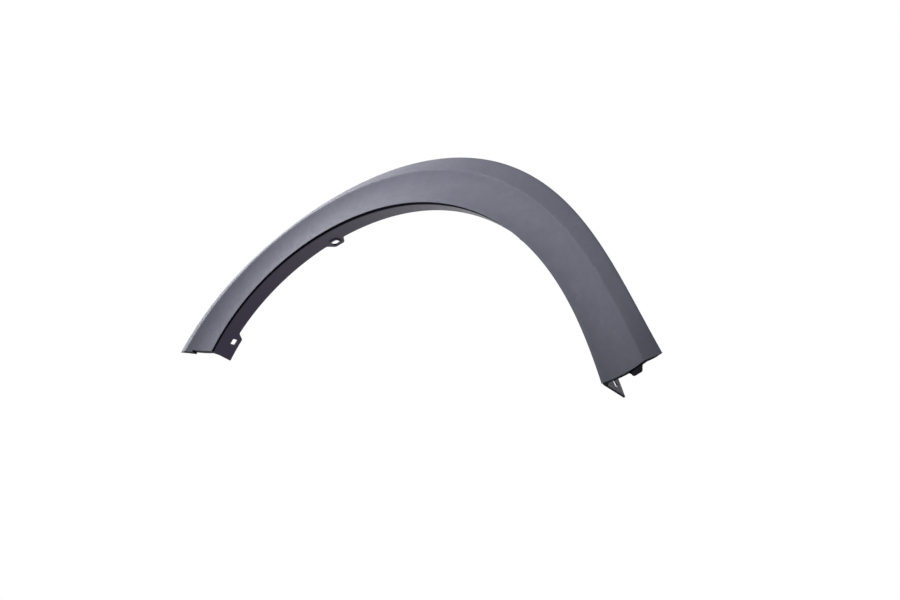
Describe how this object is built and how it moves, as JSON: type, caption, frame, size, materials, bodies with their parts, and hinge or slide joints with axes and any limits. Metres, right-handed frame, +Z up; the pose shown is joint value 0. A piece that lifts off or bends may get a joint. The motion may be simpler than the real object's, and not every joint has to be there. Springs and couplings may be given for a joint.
{
  "type": "wheel arch trim",
  "caption": "Matte plastic trim that edges a car's wheel opening: creased face, tilted outer band, return flange with screw ears and end pads, and hidden clip seats.",
  "frame": {"origin": "shoulder of the locating pin on the hidden side, straight above the wheel's centre", "axes": "+X along the car towards the sill end, +Y into the car (the visible face looks along -Y), +Z up"},
  "size_m": [0.8143, 0.0477, 0.3376],
  "materials": {
    "trim_plastic": "fine-grained moulded plastic, matte, dark bluish grey"
  },
  "bodies": {
    "root": {"wheel_arch_trim": "trim_plastic"}
  },
  "joints": []
}
